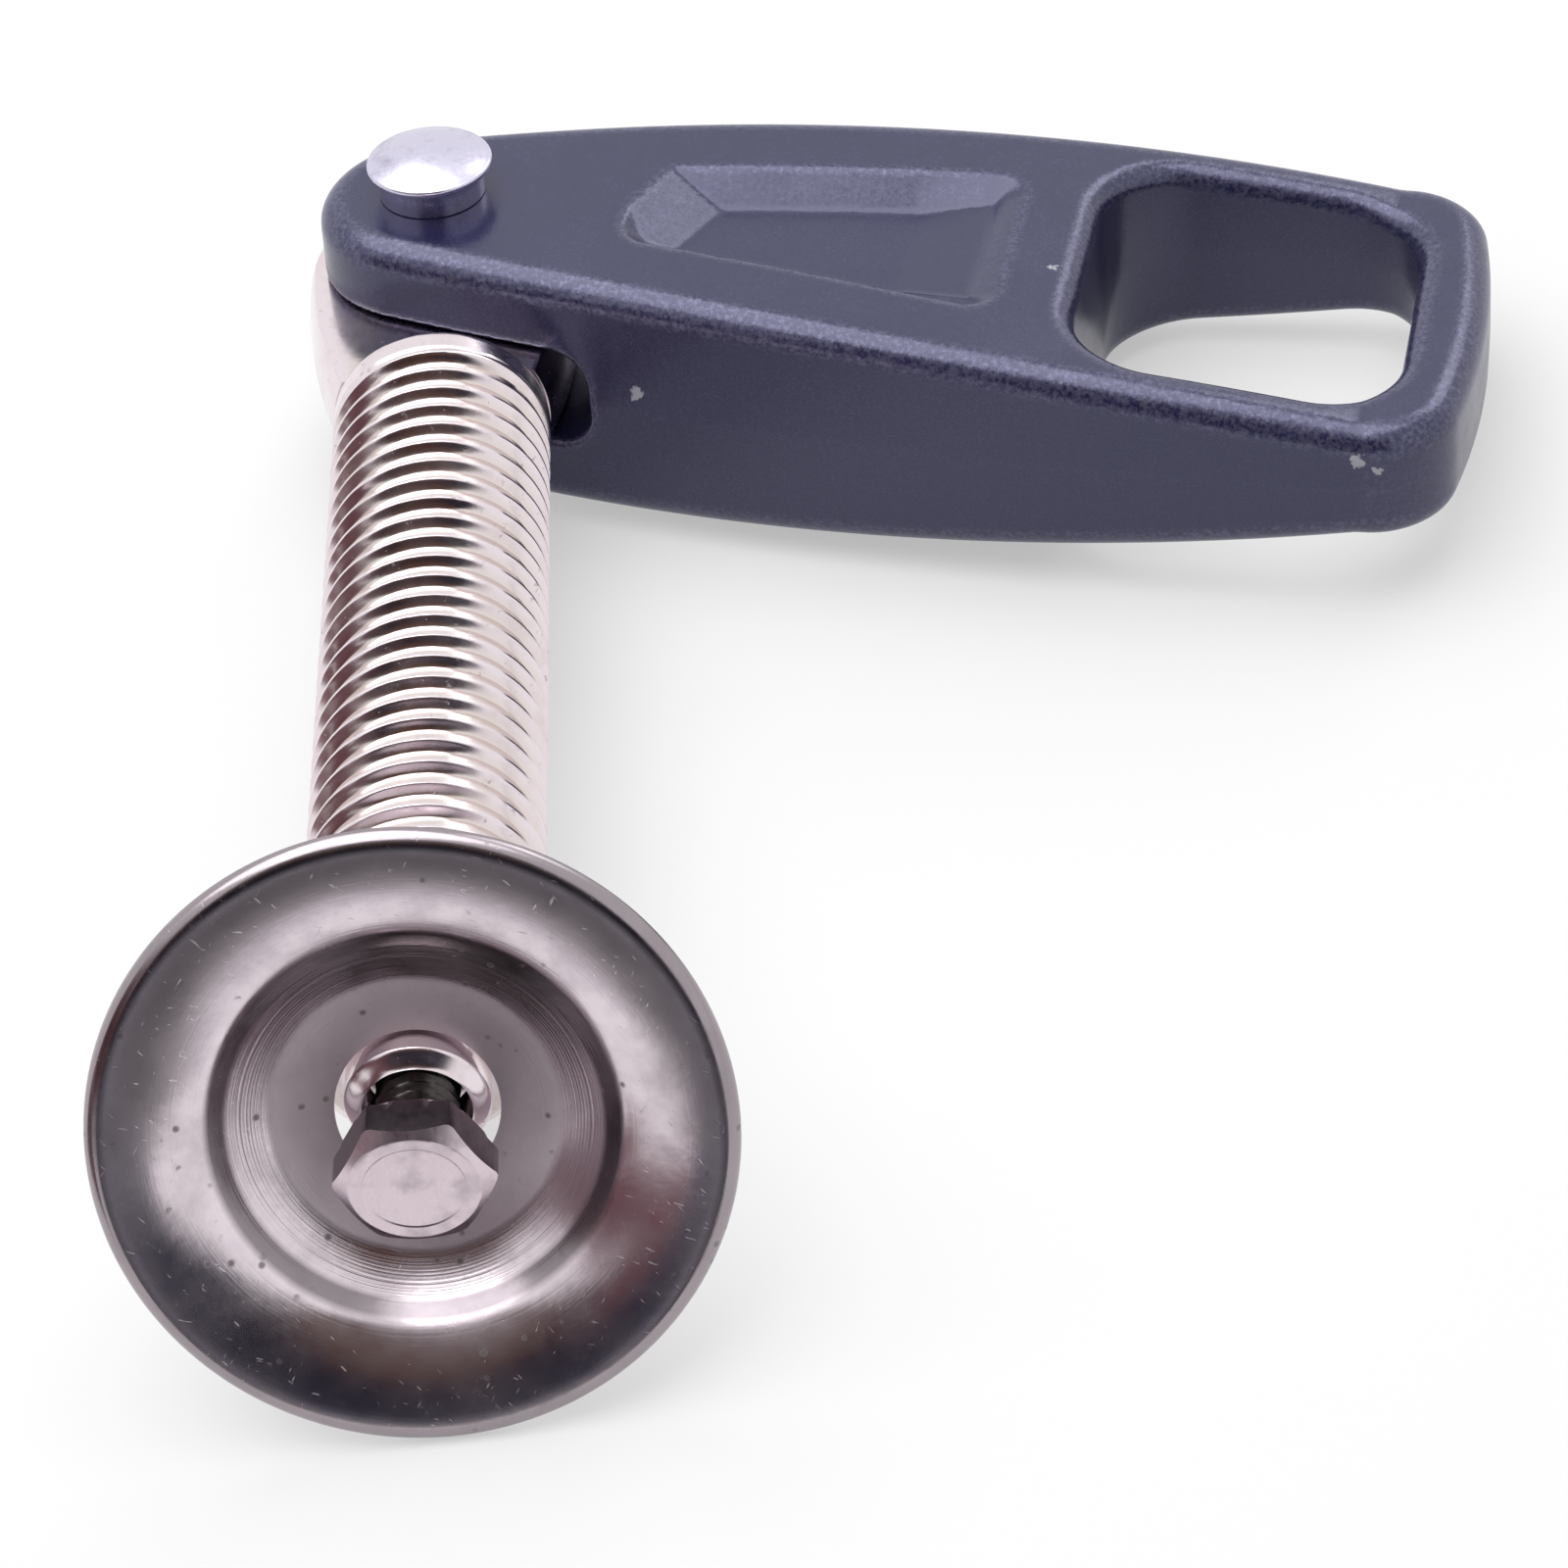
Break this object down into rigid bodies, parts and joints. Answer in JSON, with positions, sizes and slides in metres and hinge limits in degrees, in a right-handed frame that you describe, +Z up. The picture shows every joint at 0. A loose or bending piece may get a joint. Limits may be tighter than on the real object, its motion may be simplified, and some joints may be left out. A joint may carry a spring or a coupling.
{
  "type": "transom clamp screw",
  "caption": "Transom clamp screw: coarse-threaded steel screw with a forked folding handle with a finger hole, pivot pin and swivelling dished pad held by a hex bolt.",
  "frame": {"origin": "start of the clamp thread, on the screw's axis, just below the eye", "axes": "+Z up as the part lies at rest, screw along Y with the pad at -Y and a little raised, handle towards +X"},
  "size_m": [0.1087, 0.1263, 0.0409],
  "materials": {
    "clamp_screw": "bright nickel plate",
    "handle": "die casting with dark blue-grey metallic paint",
    "handle_pin": "bright, slightly worn",
    "clamp_pad": "polished pressed sheet with scuffs",
    "pad_bolt": "bright cold-headed bolt"
  },
  "bodies": {
    "screw": {"clamp_screw": "clamp_screw", "pad_bolt": "pad_bolt"},
    "handle": {"handle": "handle", "handle_pin": "handle_pin"},
    "pad": {"clamp_pad": "clamp_pad"}
  },
  "joints": [
    {"name": "handle_fold", "type": "hinge", "parent": "screw", "child": "handle", "pos_m": [-0.00005, 0.01947, -0.00116], "axis": [0.042, 0.0595, 0.9973], "range_deg": [-5, 211]},
    {"name": "pad_swivel", "type": "hinge", "parent": "screw", "child": "pad", "pos_m": [0.0002, -0.08056, 0.00479], "axis": [0.0025, -0.9982, 0.0594], "continuous": true}
  ]
}
